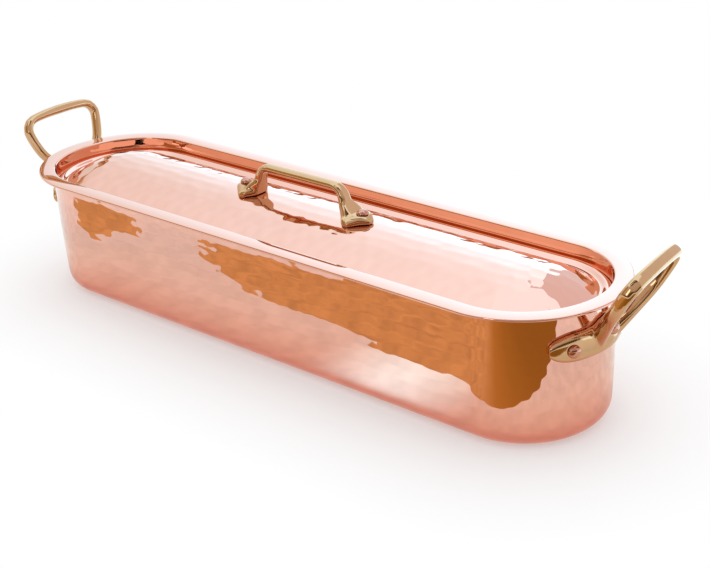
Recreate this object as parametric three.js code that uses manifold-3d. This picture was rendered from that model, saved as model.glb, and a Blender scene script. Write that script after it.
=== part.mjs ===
// A copper fish poacher: a long pan with round ends and a flat turned-out rim, cast bronze loop handles
// riveted to its ends, a domed lid sunk inside the rim with a cast bridge handle, and a perforated rack
// that lifts out by two folding wire grips.
// Millimetres, +Z up. The origin is the middle of the pan's floor, on its underside. +X runs along the pan.
import * as THREE from 'three';
import { mergeVertices } from 'three/addons/utils/BufferGeometryUtils.js';
import Module from 'manifold-3d';

const wasm = await Module();
wasm.setup();

// Pan
const rimLength = 525;
const rimWidth = 140;
const panHeight = 98;
const panSheet = 2;
const rimOverhang = 10.7;
const rimFillet = 0.4;
const rimCorner = 1.2;
const wallFlare = 2;
const floorRound = 14;
const wallBulgePower = 2;

// Lid
const lidSheet = 1.5;
const lidDepth = 12;
const lidClearance = 0.3;
const lidRise = 15.8;
const beadInset = 3.2;
const beadHeight = 2.4;
const grooveInset = 8.4;
const domeInset = 11;
const domeFootHeight = 0.8;
const landShare = 0.25;

// Bridge handle of the lid
const bridgeLength = 76;
const bridgeWidth = 9;
const bridgeThickness = 5.8;
const bridgeRise = 22;
const bridgeBend = 9;
const legSpread = 7.5;
const legWidth = 11;
const legThickness = 8;
const legStartShare = 0.55;
const bridgeFootHeel = 4;
const bridgeFootStep = 5;
const bridgeFootReach = 22.5;
const bridgeFootNeck = 12;
const bridgeFootWidth = 31;
const bridgeFootThickness = 6;
const bridgeFootBevel = 2.4;
const bridgeFootRound = 5;
const bridgeFootSinkShare = 0.5;
const bridgeFlareRise = 12.5;
const bridgeFlareReach = 6.3;
const bridgeFlareWidth = 24;
const bridgeRivetShare = 0.371;

// Loop handles of the pan
const loopReachRight = 25.8;
const loopReachLeft = 13.2;
const loopTwistRight = 5.5;
const loopTwistLeft = 0;
const handleSetRight = 2.5;
const handleSetLeft = 0;
const loopRise = 28.3;
const loopWidth = 67.6;
const loopBow = 1.5;
const loopRootDepth = 4.5;
const loopBar = 6.8;
const loopBarDepth = 9.2;
const loopRootSwell = 1.2;
const loopMiddleSwell = 1.12;
const loopRootPower = 6;
const loopMiddleShare = 0.25;
const baseDrop = 37.2;
const baseHeight = 20;
const baseThickness = 5.2;
const baseTipThickness = 3;
const baseAngle = 43;
const baseRoundAngle = 19;
const baseTipPower = 2.4;
const bossRise = 4.5;
const bossThickness = 1.6;
const bossAngle = 15;

// Rivets of the handles
const rivetShank = 2.5;
const rivetHead = 4.4;
const rivetDome = 3.1;
const rivetBackHead = 4.2;
const rivetBack = 1.4;
const rivetLobeAngle = 28.5;
const rivetLobeRise = 9.5;
const rivetMiddleRise = 15.7;

// Rack
const rackGap = 4.4;
const rackSheet = 1.2;
const rackEdge = 5;
const rackBend = 2.2;
const footHeight = 8;
const footRadius = 5;
const footShank = 2;
const footHead = 3.6;
const footDome = 1.5;
const footTaper = 0.75;
const footSetback = 24.5;
const footInset = 11.4;
const holeRadius = 4.5;
const holePitch = 23;
const holeEdgeMargin = 3;
const holeFittingMargin = 1.5;

// Folding grips of the rack
const gripWire = 4;
const gripLength = 52;
const gripClearance = 1.9;
const gripCorner = 11;
const gripStub = 16;
const gripSetback = 14.5;
const saddleSheet = 1.2;
const saddleWidth = 8;
const saddleFoot = 10;
const saddleInset = 9;
const saddleRivetShank = 1.5;
const saddleRivetHead = 3;
const saddleRivetDome = 1.2;

// Gap between pieces that touch, and the overrun of every cut
const seatGap = 0.3;
const overrun = 2;

// Facets of round things
const endSteps = 18;
const cornerSteps = 4;
const wallSteps = 4;
const filletSteps = 2;
const rimCornerSteps = 3;
const loopSteps = 44;
const baseSteps = 22;
const bridgeSteps = 8;
const domeSteps = 6;
const grooveSteps = 2;
const beadSteps = 4;
const landSteps = 3;
const headSteps = 4;
const smallHeadSteps = 3;
const gripRuns = 2;
const barSides = 12;
const roundSteps = 10;
const smallSteps = 8;
const wireSides = 8;

const toRadians = Math.PI / 180;

// Finishes
const copper = new THREE.MeshStandardMaterial({ color: 0xd98b6a, metalness: 1, roughness: 0.12 });
const bronze = new THREE.MeshStandardMaterial({ color: 0xb8925a, metalness: 1, roughness: 0.22 });
const rivetCopper = new THREE.MeshStandardMaterial({ color: 0xa85c3c, metalness: 1, roughness: 0.25 });
const tinned = new THREE.MeshStandardMaterial({ color: 0xc9c9c4, metalness: 1, roughness: 0.35 });

// The plan of pan, lid and rack is a stadium: everything follows one straight spine.
const spineHalf = (rimLength - rimWidth) / 2;
const wallTopRadius = rimWidth / 2 - rimOverhang;
const wallFootRadius = wallTopRadius - wallFlare;
const wallTop = panHeight - panSheet - rimFillet;

// Outer and inner radius of the raised wall, which opens towards the rim and straightens on its way up.
function wallOuter(height) {
  const drop = Math.min((wallTop - height) / (wallTop - floorRound), 1);
  return wallTopRadius - wallFlare * drop ** wallBulgePower;
}

function wallInner(height) {
  return wallOuter(height) - panSheet;
}

// Welds a mesh into one closed body with no spent triangles.
function weld(positions, indices) {
  const loose = new THREE.BufferGeometry();
  loose.setAttribute('position', new THREE.Float32BufferAttribute(positions, 3));
  loose.setIndex(indices);
  const joined = mergeVertices(loose);
  const index = joined.index.array;
  const kept = [];
  for (let i = 0; i < index.length; i += 3) {
    const [a, b, c] = index.slice(i, i + 3);
    if (a !== b && b !== c && c !== a) kept.push(a, b, c);
  }
  joined.setIndex(kept);
  return joined;
}

function toSolid(geometry) {
  const bare = geometry.clone();
  bare.deleteAttribute('normal');
  bare.deleteAttribute('uv');
  const joined = mergeVertices(bare);
  return new wasm.Manifold(new wasm.Mesh({
    numProp: 3,
    vertProperties: Float32Array.from(joined.attributes.position.array),
    triVerts: Uint32Array.from(joined.index.array),
  }));
}

function toGeometry(solid) {
  const mesh = solid.getMesh();
  const geometry = new THREE.BufferGeometry();
  geometry.setAttribute('position', new THREE.BufferAttribute(Float32Array.from(mesh.vertProperties), 3));
  geometry.setIndex(new THREE.BufferAttribute(Uint32Array.from(mesh.triVerts), 1));
  return geometry;
}

// A solid of stadium plan. The profile's points are [radius from the spine, height]: it starts on the
// spine under the piece, runs out, up and back, and ends on the spine above it.
function stadiumSolid(profile) {
  const positions = [];
  const indices = [];
  const stations = [];
  for (const side of [0, 1]) {
    for (let step = 0; step <= endSteps; step++) {
      const angle = (side - 0.5) * Math.PI + (step / endSteps) * Math.PI;
      stations.push({ x: side ? -spineHalf : spineHalf, cos: Math.cos(angle), sin: Math.sin(angle) });
    }
  }
  for (const [radius, height] of profile) {
    for (const { x, cos, sin } of stations) positions.push(x + radius * cos, radius * sin, height);
  }
  const count = stations.length;
  for (let ring = 0; ring < profile.length - 1; ring++) {
    for (let s = 0; s < count; s++) {
      const next = (s + 1) % count;
      const a = ring * count + s;
      const b = ring * count + next;
      indices.push(a, b, b + count, a, b + count, a + count);
    }
  }
  return weld(positions, indices);
}

// A solid through rings of as many points each, closed at both ends by a fan to the ring's middle.
function ringLoft(rings) {
  const positions = [];
  const indices = [];
  const count = rings[0].length;
  for (const ring of rings) {
    for (const point of ring) positions.push(point.x, point.y, point.z);
  }
  for (let ring = 0; ring < rings.length - 1; ring++) {
    for (let p = 0; p < count; p++) {
      const a = ring * count + p;
      const b = ring * count + ((p + 1) % count);
      indices.push(a, b, b + count, a, b + count, a + count);
    }
  }
  for (const [ring, turn] of [[0, true], [rings.length - 1, false]]) {
    const middle = new THREE.Vector3();
    for (const point of rings[ring]) middle.addScaledVector(point, 1 / count);
    const centre = positions.length / 3;
    positions.push(middle.x, middle.y, middle.z);
    for (let p = 0; p < count; p++) {
      const a = ring * count + p;
      const b = ring * count + ((p + 1) % count);
      if (turn) indices.push(centre, b, a);
      else indices.push(centre, a, b);
    }
  }
  return weld(positions, indices);
}

// Points of an arc from one angle to another, in degrees, as [x, y] pairs.
function arc(centreX, centreY, radius, from, to, steps = cornerSteps) {
  const points = [];
  for (let step = 0; step <= steps; step++) {
    const angle = (from + (to - from) * (step / steps)) * toRadians;
    points.push([centreX + radius * Math.cos(angle), centreY + radius * Math.sin(angle)]);
  }
  return points;
}

// A solid of revolution about +Z from a profile of [radius, height] that starts and ends on the axis.
function turned(profile, steps = roundSteps) {
  return new THREE.LatheGeometry(profile.map(([x, y]) => new THREE.Vector2(x, y)), steps)
    .rotateX(Math.PI / 2);
}

// A round bar along +Z, for drilling holes.
function drill(radius, from, to, steps = roundSteps) {
  return turned([[0, from], [radius, from], [radius, to], [0, to]], steps);
}

// Two half sizes make the section of a bar. A power of 2 makes it round, and more squares its corners off.
const roundPower = 2;
const barPower = 2.5;

// Sweeps a bar along a path that lies in a plane. halfSizes(share of the path) gives the section's half
// size in that plane and across it.
function sweep(path, across, sides, halfSizes, power = barPower) {
  const rings = path.map((point, i) => {
    const before = path[Math.max(i - 1, 0)];
    const after = path[Math.min(i + 1, path.length - 1)];
    const along = after.clone().sub(before).normalize();
    const outward = across.clone().cross(along);
    const [halfIn, halfAcross] = halfSizes(i / (path.length - 1));
    const ring = [];
    for (let side = 0; side < sides; side++) {
      const angle = (side / sides) * 2 * Math.PI;
      const cos = Math.cos(angle);
      const sin = Math.sin(angle);
      const stretch = (Math.abs(cos) ** power + Math.abs(sin) ** power) ** (-1 / power);
      ring.push(point.clone()
        .addScaledVector(outward, halfIn * stretch * cos)
        .addScaledVector(across, halfAcross * stretch * sin));
    }
    return ring;
  });
  return ringLoft(rings);
}

// Straight runs with rounded corners. A corner is [x, y, radius], and an end has no radius.
function roundedPath(corners, steps = cornerSteps) {
  const points = [];
  corners.forEach(([x, y, radius], i) => {
    const here = new THREE.Vector2(x, y);
    if (!radius) {
      points.push(here);
      return;
    }
    const before = corners[(i + corners.length - 1) % corners.length];
    const after = corners[(i + 1) % corners.length];
    const back = new THREE.Vector2(before[0], before[1]).sub(here).normalize();
    const ahead = new THREE.Vector2(after[0], after[1]).sub(here).normalize();
    const halfAngle = Math.acos(back.dot(ahead)) / 2;
    const middle = back.clone().add(ahead).normalize();
    const centre = here.clone().addScaledVector(middle, radius / Math.sin(halfAngle));
    const start = here.clone().addScaledVector(back, radius / Math.tan(halfAngle)).sub(centre);
    const end = here.clone().addScaledVector(ahead, radius / Math.tan(halfAngle)).sub(centre);
    const turn = Math.atan2(start.cross(end), start.dot(end));
    for (let step = 0; step <= steps; step++) {
      const point = start.clone().rotateAround(new THREE.Vector2(), turn * (step / steps));
      points.push(point.add(centre));
    }
  });
  return points;
}

// Adds points between the ends of every long run, so that a section can change along it.
function refine(points, longest) {
  const dense = [points[0]];
  for (let i = 1; i < points.length; i++) {
    const steps = Math.ceil(points[i].distanceTo(points[i - 1]) / longest);
    for (let step = 1; step <= steps; step++) {
      dense.push(points[i - 1].clone().lerp(points[i], step / steps));
    }
  }
  return dense;
}

// Pan

function panProfile() {
  const floorFlat = wallFootRadius - floorRound;
  const climb = [];
  for (let step = 1; step < wallSteps; step++) {
    climb.push(floorRound + (wallTop - floorRound) * (step / wallSteps));
  }
  return [
    [0, 0],
    ...arc(floorFlat, floorRound, floorRound, -90, 0),
    ...climb.map((height) => [wallOuter(height), height]),
    ...arc(wallTopRadius + rimFillet, wallTop, rimFillet, 180, 90, filletSteps),
    ...arc(rimWidth / 2 - panSheet / 2, panHeight - panSheet / 2, panSheet / 2, -90, 90),
    ...arc(wallTopRadius - panSheet + rimCorner, panHeight - rimCorner, rimCorner, 90, 180, rimCornerSteps),
    ...climb.reverse().map((height) => [wallInner(height), height]),
    ...arc(floorFlat, floorRound, floorRound - panSheet, 0, -90),
    [0, panSheet],
  ];
}

// The three rivets of a handle: their angle round the end of the pan, and their height.
const baseLow = panHeight - baseDrop;
const handleRivets = [
  { place: 'near', angle: -rivetLobeAngle, height: baseLow + rivetLobeRise },
  { place: 'middle', angle: 0, height: baseLow + rivetMiddleRise },
  { place: 'far', angle: rivetLobeAngle, height: baseLow + rivetLobeRise },
];

// The two ends. Each handle was set and bent by eye, so each has its own set round the end of the pan,
// its own reach and its own twist of the loop.
const ends = [
  { end: 'right', turn: 0, set: handleSetRight, reach: loopReachRight, twist: loopTwistRight },
  { end: 'left', turn: 180, set: handleSetLeft, reach: loopReachLeft, twist: loopTwistLeft },
];

// Lays a piece made along +Z from the end's upright axis outwards, through the wall at a rivet's place.
function atRivet(geometry, { angle, height }, set = 0) {
  return geometry.rotateY(Math.PI / 2).rotateZ((angle + set) * toRadians).translate(spineHalf, 0, height);
}

function rivetHoles(set) {
  const reach = wallTopRadius + baseThickness + bossThickness + overrun;
  return handleRivets.map((rivet) => (
    toSolid(atRivet(drill(rivetShank + seatGap, wallFootRadius / 2, reach), rivet, set))
  ));
}

function makePan() {
  let pan = toSolid(stadiumSolid(panProfile()));
  for (const { turn, set } of ends) {
    for (const hole of rivetHoles(set)) pan = pan.subtract(hole.rotate([0, 0, turn]));
  }
  return toGeometry(pan);
}

// Loop handle

const baseSeat = wallOuter(baseLow + baseHeight) + seatGap;
const baseMiddle = baseLow + baseHeight / 2;

// Share of the base's angle at its last ring, just short of the point where its section has run out.
const lastTurnShare = 0.985;

// Share of the full section left where the base rounds off to its tips.
function tipShare(angle) {
  const past = (Math.abs(angle) - baseRoundAngle) / (baseAngle - baseRoundAngle);
  return (1 - Math.max(past, 0) ** baseTipPower) ** (1 / baseTipPower);
}

// Share of the boss between the legs, 1 in the middle and 0 at its foot.
function bossShare(angle) {
  return Math.cos(Math.min(Math.abs(angle) / bossAngle, 1) * Math.PI / 2) ** 2;
}

// Outline of the base's section as shares of its thickness and of its half height, from the inner top
// round the crowned face to the inner bottom.
const baseSectionShares = [
  [0, 1], [0.45, 0.97], [0.8, 0.78], [0.96, 0.42], [1, 0],
  [0.96, -0.42], [0.8, -0.78], [0.45, -0.97], [0, -1],
];

function handleBase() {
  const rings = [];
  for (let step = 0; step <= baseSteps; step++) {
    const angle = baseAngle * lastTurnShare * Math.sin((step / baseSteps - 0.5) * Math.PI);
    const share = tipShare(angle);
    const rise = bossRise * bossShare(angle);
    const halfHeight = (baseHeight / 2) * share + rise / 2;
    const middle = baseMiddle + rise / 2;
    const thickness = baseTipThickness + (baseThickness - baseTipThickness) * share
      + bossThickness * bossShare(angle);
    rings.push(baseSectionShares.map(([depthShare, heightShare]) => new THREE.Vector3(
      spineHalf + (baseSeat + thickness * depthShare) * Math.cos(angle * toRadians),
      (baseSeat + thickness * depthShare) * Math.sin(angle * toRadians),
      middle + halfHeight * heightShare,
    )));
  }
  return ringLoft(rings);
}

// Half of the loop's centre line, from its root in the base to the middle of the bar: shares of half the
// loop's width, and shares of the height from root to bar.
const loopShares = [
  [0.28, 0], [0.37, 0.11], [0.5, 0.23], [0.67, 0.35], [0.83, 0.48], [0.92, 0.61], [0.98, 0.74],
  [1, 0.83], [0.94, 0.91], [0.84, 0.96], [0.52, 0.99], [0, 1],
];

// The loop leans out to clear the rim.
function handleLoop(reach, twist) {
  const root = new THREE.Vector3(spineHalf + baseSeat + baseThickness - loopRootDepth, 0, baseMiddle);
  const bar = new THREE.Vector3(rimLength / 2 + reach, 0, panHeight + loopRise);
  const knots = loopShares.map(([widthShare, heightShare]) => {
    const middle = root.clone().lerp(bar, heightShare);
    middle.x += loopBow * Math.sin(heightShare * Math.PI);
    return { middle, half: (loopWidth / 2) * widthShare, turn: twist * heightShare * toRadians };
  });
  const side = (sign) => knots.map(({ middle, half, turn }) => new THREE.Vector3(
    middle.x - sign * half * Math.sin(turn), sign * half * Math.cos(turn), middle.z,
  ));
  const line = [...side(-1).slice(0, -1), ...side(1).reverse()];
  const curve = new THREE.CatmullRomCurve3(line, false, 'centripetal');
  const lean = bar.clone().sub(root).normalize();
  const across = new THREE.Vector3(lean.z, 0, -lean.x);
  return sweep(curve.getSpacedPoints(loopSteps), across, barSides, (share) => {
    const fromMiddle = Math.abs(share - 0.5) * 2;
    const rootSwell = (loopRootSwell - 1) * fromMiddle ** loopRootPower;
    const middleSwell = (loopMiddleSwell - 1) * Math.max(1 - fromMiddle / loopMiddleShare, 0);
    return [(loopBar / 2) * (1 + rootSwell + middleSwell), (loopBarDepth / 2) * (1 + rootSwell)];
  });
}

// Flat seats for the rivet heads, milled into the crowned base.
function seatRadius({ angle }) {
  return baseSeat + baseThickness + bossThickness * bossShare(angle) - seatGap;
}

function makeHandle({ set, reach, twist }) {
  let handle = toSolid(handleBase()).add(toSolid(handleLoop(reach, twist)));
  for (const rivet of handleRivets) {
    const from = seatRadius(rivet);
    const seat = drill(rivetHead + seatGap, from, from + rivetDome + overrun);
    handle = handle.subtract(toSolid(atRivet(seat, rivet)));
  }
  for (const hole of rivetHoles(0)) handle = handle.subtract(hole);
  handle = handle.translate([-spineHalf, 0, 0]).rotate([0, 0, set]).translate([spineHalf, 0, 0]);
  const wall = stadiumSolid([[0, 0], [baseSeat, 0], [baseSeat, panHeight], [0, panHeight]]);
  return toGeometry(handle.subtract(toSolid(wall)));
}

// Points of a round head between its edge and its crown.
function headPoints(radius, rise, foot, steps) {
  return arc(0, 0, 1, 0, 90, steps).slice(1, -1).map(([x, y]) => [radius * x, foot + rise * y]);
}

// A domed rivet along +Z from its flattened back head to its round head.
function rivetProfile(back, face, shank, head, dome, backHead, backThickness) {
  return [
    [0, back - backThickness],
    [backHead, back - backThickness],
    [backHead, back],
    [shank, back],
    [shank, face],
    [head, face],
    ...headPoints(head, dome, face, headSteps),
    [0, face + dome],
  ];
}

// The flat back head stands off the curved wall by the curve's depth under it.
function makeHandleRivet(rivet, set) {
  const inner = wallInner(rivet.height);
  const facet = inner * (1 - Math.cos(Math.PI / endSteps / 2));
  const back = inner - seatGap - facet - rivetBackHead ** 2 / (2 * inner);
  const face = seatRadius(rivet) + seatGap;
  const profile = rivetProfile(back, face, rivetShank, rivetHead, rivetDome, rivetBackHead, rivetBack);
  return atRivet(turned(profile), rivet, set);
}

// Lid

const landHeight = panHeight - lidDepth;
const lidEdge = wallInner(landHeight - lidSheet) - lidClearance;
const domeFoot = lidEdge - domeInset;
const lidCrown = landHeight + lidRise;

// Height of the lid's round dome over its spine.
function domeHeight(radius) {
  const rise = lidRise - domeFootHeight;
  const curve = (domeFoot ** 2 + rise ** 2) / (2 * rise);
  return lidCrown - curve + Math.sqrt(curve ** 2 - radius ** 2);
}

// Points of a smooth step from one place to the next, without its first.
function smoothStep([fromX, fromY], [toX, toY], steps) {
  const points = [];
  for (let step = 1; step <= steps; step++) {
    const share = step / steps;
    const eased = (1 - Math.cos(share * Math.PI)) / 2;
    points.push([fromX + (toX - fromX) * share, fromY + (toY - fromY) * eased]);
  }
  return points;
}

// Upper face of the lid from its spine out: dome, groove, bead and the land along its edge.
function lidTop() {
  const dome = [];
  for (let step = 0; step <= domeSteps; step++) {
    const radius = domeFoot * (step / domeSteps);
    dome.push([radius, domeHeight(radius)]);
  }
  const foot = dome[dome.length - 1];
  const groove = [lidEdge - grooveInset, landHeight];
  const bead = [lidEdge - beadInset, landHeight + beadHeight];
  const land = [lidEdge - beadInset * landShare, landHeight];
  return [
    ...dome,
    ...smoothStep(foot, groove, grooveSteps),
    ...smoothStep(groove, bead, beadSteps),
    ...smoothStep(bead, land, landSteps),
    [lidEdge, landHeight],
  ];
}

// The same outline one sheet lower, measured square to it.
function lowered(outline, depth) {
  return outline.map(([x, y], i) => {
    if (i === 0) return [x, y - depth];
    const before = outline[i - 1];
    const after = outline[Math.min(i + 1, outline.length - 1)];
    const run = new THREE.Vector2(after[0] - before[0], after[1] - before[1]).normalize();
    const sideways = i === outline.length - 1 ? 0 : run.y * depth;
    return [x + sideways, y - run.x * depth];
  });
}

function makeLid() {
  const top = lidTop();
  let lid = toSolid(stadiumSolid([...lowered(top, lidSheet), ...top.reverse()]));
  for (const side of [-1, 1]) {
    const hole = drill(rivetShank + seatGap, landHeight, lidCrown + overrun);
    lid = lid.subtract(toSolid(hole.translate(side * bridgeRivetPlace, 0, 0)));
  }
  return toGeometry(lid);
}

// Bridge handle

// Each leg meets the lid here, and its foot and rivet are laid out from that place.
const legPlace = bridgeLength / 2 + legSpread;
const bridgeFootInner = legPlace - bridgeFootHeel;
const bridgeFootWaist = legPlace + bridgeFootStep;
const bridgeFootOuter = legPlace + bridgeFootReach;
const bridgeFlareOuter = legPlace + bridgeFlareReach;
const bridgeRivetPlace = bridgeFootWaist + (bridgeFootOuter - bridgeFootWaist) * bridgeRivetShare;

function bridgeBar() {
  const barHeight = lidCrown + bridgeRise;
  const half = bridgeLength / 2;
  const path = refine(roundedPath([
    [-legPlace, lidCrown],
    [-half, barHeight, bridgeBend],
    [half, barHeight, bridgeBend],
    [legPlace, lidCrown],
  ]), bridgeLength / bridgeSteps).map(({ x, y }) => new THREE.Vector3(x, 0, y));
  return sweep(path, new THREE.Vector3(0, -1, 0), barSides, (share) => {
    const leg = THREE.MathUtils.smoothstep(Math.abs(share - 0.5) * 2, legStartShare, 1);
    return [
      THREE.MathUtils.lerp(bridgeThickness, legThickness, leg) / 2,
      THREE.MathUtils.lerp(bridgeWidth, legWidth, leg) / 2,
    ];
  });
}

// Shares of the foot's plan and of its rounding's height, from its wall up to its flat top.
const footRoundShares = [[1, 0], [0.97, 0.45], [0.9, 0.8], [0.8, 1]];

function bridgeFoot() {
  const outline = roundedPath([
    [bridgeFootInner, -bridgeFootNeck / 2, bridgeFootBevel],
    [bridgeFootWaist, -bridgeFootWidth / 2, bridgeFootRound],
    [bridgeFootOuter, 0, bridgeFootRound],
    [bridgeFootWaist, bridgeFootWidth / 2, bridgeFootRound],
    [bridgeFootInner, bridgeFootNeck / 2, bridgeFootBevel],
  ]);
  const top = lidCrown + bridgeFootThickness;
  const ring = (planShare, height) => outline.map(({ x, y }) => new THREE.Vector3(
    bridgeFootWaist + (x - bridgeFootWaist) * planShare, y * planShare, height,
  ));
  return ringLoft([
    ring(1, lidCrown - lidRise * bridgeFootSinkShare),
    ...footRoundShares.map(([plan, rise]) => ring(plan, top + bridgeFootBevel * (rise - 1))),
  ]);
}

const bridgeSeat = lidCrown + bridgeFootThickness;

// Shares of the leg's own thickness and width at which its flare starts, so that it starts inside the leg.
const flareStartShares = [0.7, 0.8];

// The leg flares out into its foot: a hull from the leg's section down to a broad strip of the foot.
function bridgeFlare() {
  const leg = legPlace - legSpread * (bridgeFlareRise / bridgeRise);
  const corners = [];
  for (const side of [-1, 1]) {
    for (const turn of [-1, 1]) {
      corners.push([
        leg + turn * (legThickness / 2) * flareStartShares[0],
        side * (legWidth / 2) * flareStartShares[1],
        lidCrown + bridgeFlareRise,
      ]);
    }
    corners.push([bridgeFootInner, side * (bridgeFootNeck / 2), lidCrown]);
    corners.push([bridgeFlareOuter, side * (bridgeFlareWidth / 2), bridgeSeat - bridgeFootBevel]);
    corners.push([bridgeFlareOuter, side * (bridgeFootNeck / 2), bridgeSeat]);
  }
  return wasm.Manifold.hull(corners);
}

function makeBridge() {
  let bridge = toSolid(bridgeBar());
  for (const turn of [0, 180]) {
    const foot = toSolid(bridgeFoot()).add(bridgeFlare()).rotate([0, 0, turn]);
    const hole = toSolid(drill(rivetShank + seatGap, landHeight, bridgeSeat + overrun)
      .translate(bridgeRivetPlace, 0, 0)).rotate([0, 0, turn]);
    bridge = bridge.add(foot).subtract(hole);
  }
  const dome = lidTop().slice(0, domeSteps + 1).map(([x, y]) => [x, y + seatGap]).reverse();
  const under = stadiumSolid([[0, 0], [dome[0][0], 0], ...dome]);
  return toGeometry(bridge.subtract(toSolid(under)));
}

function makeLidRivet(side) {
  const firstDrop = lidCrown - domeHeight(domeFoot / domeSteps);
  const under = lidCrown - lidSheet - seatGap - firstDrop;
  const profile = rivetProfile(
    under, bridgeSeat + seatGap, rivetShank, rivetHead, rivetDome, rivetBackHead, rivetBack,
  );
  return turned(profile).translate(side * bridgeRivetPlace, 0, 0);
}

// Rack

const plateTop = panSheet + seatGap + footHeight + rackSheet;
const plateUnder = plateTop - rackSheet;
const plateEdge = wallFootRadius - panSheet - rackGap;
const footPlaceX = spineHalf - footSetback;
const footPlaceY = plateEdge - footInset;
const gripPivotX = spineHalf - gripSetback;
const gripSpan = 2 * (footPlaceY - footHead - gripClearance);
const armPlace = (gripSpan - gripWire) / 2;
const saddlePlace = armPlace - saddleInset;
const wireHeight = plateTop + seatGap + gripWire / 2;
const saddleInner = gripWire / 2 + seatGap;
const saddleOuter = saddleInner + saddleSheet;
const saddleRivetPlace = gripPivotX + saddleOuter + saddleFoot / 2;

// The four corners of the rack, as signs along X and Y.
const corners = [[1, -1], [1, 1], [-1, -1], [-1, 1]];

function plateProfile() {
  const turn = plateEdge - rackBend;
  const skirtEnd = plateTop - rackEdge;
  return [
    [0, plateUnder],
    ...arc(turn, plateTop - rackBend, rackBend - rackSheet, 90, 0, filletSteps),
    [plateEdge - rackSheet, skirtEnd],
    [plateEdge, skirtEnd],
    ...arc(turn, plateTop - rackBend, rackBend, 0, 90, filletSteps),
    [0, plateTop],
  ];
}

// Places of the drain holes: staggered rows that keep clear of the edge, the feet and the saddles.
function holePlaces() {
  const rowPitch = holePitch * Math.sin(Math.PI / 3);
  const reach = plateEdge - rackBend - holeEdgeMargin - holeRadius;
  const rows = Math.floor(reach / rowPitch);
  const fittings = corners.flatMap(([x, y]) => [
    { x: x * footPlaceX, y: y * footPlaceY, radius: footHead },
    { x: x * gripPivotX, y: y * saddlePlace, radius: saddleWidth / 2 },
    { x: x * saddleRivetPlace, y: y * saddlePlace, radius: saddleWidth / 2 },
  ]);
  const places = [];
  for (let row = -rows; row <= rows; row++) {
    const y = row * rowPitch;
    const half = spineHalf + Math.sqrt(reach ** 2 - y ** 2);
    const shift = row % 2 ? holePitch / 2 : 0;
    const count = Math.floor((half - shift) / holePitch);
    for (let column = row % 2 ? -count - 1 : -count; column <= count; column++) {
      const x = column * holePitch + shift;
      const clear = fittings.every((fitting) => (
        Math.hypot(fitting.x - x, fitting.y - y) > fitting.radius + holeRadius + holeFittingMargin
      ));
      if (clear) places.push([x, y]);
    }
  }
  return places;
}

function makeRackPlate() {
  const from = plateUnder - overrun;
  const drills = holePlaces().map(([x, y]) => toSolid(
    new THREE.CylinderGeometry(holeRadius, holeRadius, rackSheet + 2 * overrun, smallSteps)
      .rotateX(Math.PI / 2).translate(x, y, plateTop - rackSheet / 2),
  ));
  for (const [x, y] of corners) {
    const foot = drill(footShank + seatGap, from, plateTop + overrun, smallSteps);
    const rivet = drill(saddleRivetShank + seatGap, from, plateTop + overrun, smallSteps);
    drills.push(toSolid(foot.translate(x * footPlaceX, y * footPlaceY, 0)));
    drills.push(toSolid(rivet.translate(x * saddleRivetPlace, y * saddlePlace, 0)));
  }
  const plate = toSolid(stadiumSolid(plateProfile()));
  return toGeometry(plate.subtract(wasm.Manifold.union(drills)));
}

// A turned foot whose shank is riveted over on top of the plate.
function makeFoot([x, y]) {
  const floor = panSheet + seatGap;
  const shoulder = plateUnder - seatGap;
  const head = plateTop + seatGap;
  return turned([
    [0, floor],
    [footRadius - footDome, floor],
    [footRadius, floor + footDome],
    [footRadius - footTaper, shoulder],
    [footShank, shoulder],
    [footShank, head],
    [footHead, head],
    ...headPoints(footHead, footDome, head, smallHeadSteps),
    [0, head + footDome],
  ], smallSteps).translate(x * footPlaceX, y * footPlaceY, 0);
}

// A wire grip lying flat towards the rack's middle, its ends bent in under the saddles.
function makeGrip(side) {
  const far = gripPivotX - gripLength;
  const elbow = gripWire;
  const path = refine(roundedPath([
    [gripPivotX, -armPlace + gripStub],
    [gripPivotX, -armPlace, elbow],
    [far, -armPlace, gripCorner],
    [far, armPlace, gripCorner],
    [gripPivotX, armPlace, elbow],
    [gripPivotX, armPlace - gripStub],
  ]), gripLength / gripRuns).map(({ x, y }) => new THREE.Vector3(side * x, side * y, wireHeight));
  return sweep(path, new THREE.Vector3(0, 0, 1), wireSides, () => [gripWire / 2, gripWire / 2], roundPower);
}

// A strip bent over the wire, with one foot riveted to the plate.
function makeSaddle([x, y]) {
  const base = plateTop + seatGap;
  const outline = [
    [-saddleOuter, base],
    [-saddleInner, base],
    ...arc(0, wireHeight, saddleInner, 180, 0, wireSides),
    [saddleInner, base],
    [saddleOuter + saddleFoot, base],
    [saddleOuter + saddleFoot, base + saddleSheet],
    [saddleOuter, base + saddleSheet],
    ...arc(0, wireHeight, saddleOuter, 0, 180, wireSides),
  ];
  const strip = new THREE.ExtrudeGeometry(
    new THREE.Shape(outline.map(([across, up]) => new THREE.Vector2(across, up))),
    { depth: saddleWidth, bevelEnabled: false, steps: 1 },
  ).rotateX(Math.PI / 2).translate(gripPivotX, saddleWidth / 2, 0);
  const hole = drill(saddleRivetShank + seatGap, plateUnder, base + saddleSheet + overrun, smallSteps)
    .translate(saddleRivetPlace, 0, 0);
  const saddle = toSolid(strip).subtract(toSolid(hole));
  return toGeometry(saddle.rotate([0, 0, x > 0 ? 0 : 180]).translate([0, y * saddlePlace, 0]));
}

function makeSaddleRivet([x, y]) {
  const back = plateUnder - seatGap;
  const face = plateTop + 2 * seatGap + saddleSheet;
  const profile = rivetProfile(
    back, face, saddleRivetShank, saddleRivetHead, saddleRivetDome, saddleRivetHead, saddleRivetDome,
  );
  return turned(profile, smallSteps).translate(x * saddleRivetPlace, y * saddlePlace, 0);
}

// Assembly

const poacher = new THREE.Group();

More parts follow.
